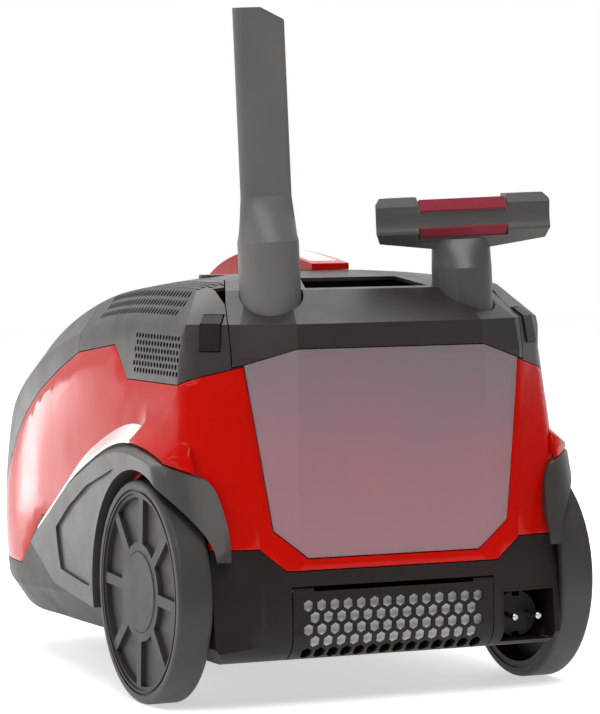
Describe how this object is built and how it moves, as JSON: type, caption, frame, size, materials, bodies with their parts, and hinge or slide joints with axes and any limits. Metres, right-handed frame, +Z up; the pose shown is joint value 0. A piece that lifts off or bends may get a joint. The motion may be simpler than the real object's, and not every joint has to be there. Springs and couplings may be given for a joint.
{
  "type": "canister vacuum cleaner",
  "caption": "Wheeled bagless canister vacuum cleaner with a lift-out rear dust tank, carried tools, hinged exhaust door, docked power plug, carry handle and front hose inlet.",
  "frame": {"origin": "on the floor under the middle of the bounding box", "axes": "+X to the cleaner's right, +Y forward to the hose inlet, +Z up"},
  "size_m": [0.332, 0.49, 0.4969],
  "materials": {
    "red_gloss": "bright glossy red moulding",
    "charcoal": "satin charcoal moulding",
    "black": "fine textured black moulding",
    "graphite": "dark warm grey satin moulding",
    "tool_grey": "satin warm grey moulding",
    "tool_dark": "satin dark grey moulding",
    "lint_red": "crimson nap fabric",
    "smoke_clear": "frosted translucent moulding",
    "bright_trim": "bright plated trim",
    "steel": "plain steel",
    "tread": "moulded soft tread",
    "silver": "pale silver inlay",
    "white_filter": "pleated white filter medium",
    "foam": "open foam",
    "rubber": "soft black rubber",
    "motor_metal": "cast motor metal",
    "copper_core": "wound motor core",
    "cord": "black cord sheath"
  },
  "bodies": {
    "body": {"lower_chassis": "black", "body_shell": "red_gloss", "tank_cradle": "red_gloss", "top_cover": "charcoal", "carry_handle": "red_gloss", "handle_inlay": "silver", "power_switch": "black", "rewind_brake": "black", "hose_inlet": "graphite", "inlet_duct": "black", "vent_cover_right": "charcoal", "vent_cover_left": "charcoal", "fender_right": "graphite", "fender_left": "graphite", "accent_strip_right": "bright_trim", "accent_strip_left": "bright_trim", "door_pins": "steel", "exhaust_filter": "white_filter", "plug_bay": "black", "cord_bush": "rubber", "reel_axle": "steel", "motor_can": "motor_metal", "fan_housing": "black", "pre_motor_filter": "foam", "motor_mount_front": "rubber", "motor_mount_rear": "rubber", "chassis_screws": "steel", "wheel_right_axle": "steel", "wheel_left_axle": "steel"},
    "wheel_left": {"wheel_left_tyre": "tread", "wheel_left_disc": "graphite", "wheel_left_cap": "graphite"},
    "wheel_right": {"wheel_right_tyre": "tread", "wheel_right_disc": "graphite", "wheel_right_cap": "graphite"},
    "caster": {"caster_fork": "graphite", "caster_axle": "steel"},
    "caster_roller": {"caster_wheel": "rubber"},
    "tank": {"dust_tank": "smoke_clear", "tank_lid": "charcoal", "tank_seal": "rubber", "cyclone_cone": "red_gloss"},
    "crevice": {"crevice_tool": "tool_grey"},
    "upholstery": {"upholstery_tool": "tool_dark", "lint_strip_upper": "lint_red", "lint_strip_lower": "lint_red"},
    "door": {"exhaust_door": "black"},
    "plug": {"plug_body": "black", "plug_pins": "steel", "cord_lead": "cord"},
    "reel": {"reel_drum": "black", "cord_winding": "cord"},
    "rotor": {"motor_rotor": "copper_core", "motor_fan": "motor_metal"},
    "power": {"power_button": "graphite"},
    "rewind": {"rewind_button": "graphite"},
    "latch_left": {"vent_latch_left": "black"},
    "latch_right": {"vent_latch_right": "black"}
  },
  "joints": [
    {"name": "wheel_left_spin", "type": "hinge", "parent": "body", "child": "wheel_left", "pos_m": [-0.151, -0.1614, 0.0805], "axis": [1, 0, 0], "continuous": true},
    {"name": "wheel_right_spin", "type": "hinge", "parent": "body", "child": "wheel_right", "pos_m": [0.151, -0.1614, 0.0805], "axis": [1, 0, 0], "continuous": true},
    {"name": "caster_swivel", "type": "hinge", "parent": "body", "child": "caster", "pos_m": [0, 0.155, 0.05], "axis": [0, 0, 1], "continuous": true},
    {"name": "caster_roll", "type": "hinge", "parent": "caster", "child": "caster_roller", "pos_m": [0, 0.141, 0.02], "axis": [1, 0, 0], "continuous": true},
    {"name": "tank_lift", "type": "slide", "parent": "body", "child": "tank", "axis": [0, 0, 1], "range_m": [0, 0.16]},
    {"name": "crevice_tool_pull", "type": "slide", "parent": "tank", "child": "crevice", "axis": [-0.0366, 0, 0.9993], "range_m": [0, 0.06]},
    {"name": "upholstery_tool_pull", "type": "slide", "parent": "tank", "child": "upholstery", "axis": [-0.0366, 0, 0.9993], "range_m": [0, 0.06]},
    {"name": "exhaust_door_open", "type": "hinge", "parent": "body", "child": "door", "pos_m": [0, -0.2424, 0.0846], "axis": [-1, 0, 0], "range_deg": [0, 95]},
    {"name": "plug_pull", "type": "slide", "parent": "body", "child": "plug", "axis": [0, -1, 0], "range_m": [0, 0.05]},
    {"name": "reel_spin", "type": "hinge", "parent": "body", "child": "reel", "pos_m": [0.1095, 0.01, 0.1055], "axis": [-1, 0, 0], "range_deg": [0, 57.3]},
    {"name": "motor_spin", "type": "hinge", "parent": "body", "child": "rotor", "pos_m": [-0.062, -0.075, 0.146], "axis": [0, 1, 0], "continuous": true},
    {"name": "power_press", "type": "slide", "parent": "body", "child": "power", "axis": [0, 0, -1], "range_m": [0, 0.003], "stiffness_N_per_m": 600},
    {"name": "rewind_press", "type": "slide", "parent": "body", "child": "rewind", "axis": [0, 0, -1], "range_m": [0, 0.003], "stiffness_N_per_m": 600},
    {"name": "latch_right_press", "type": "slide", "parent": "body", "child": "latch_right", "axis": [-0.6343, 0.7731, 0], "range_m": [0, 0.002], "stiffness_N_per_m": 500},
    {"name": "latch_left_press", "type": "slide", "parent": "body", "child": "latch_left", "axis": [0.6343, 0.7731, 0], "range_m": [0, 0.002], "stiffness_N_per_m": 500}
  ],
  "couplings": [
    {"joint": "reel_spin", "follows": "plug_pull", "rad_per_m": 20}
  ]
}
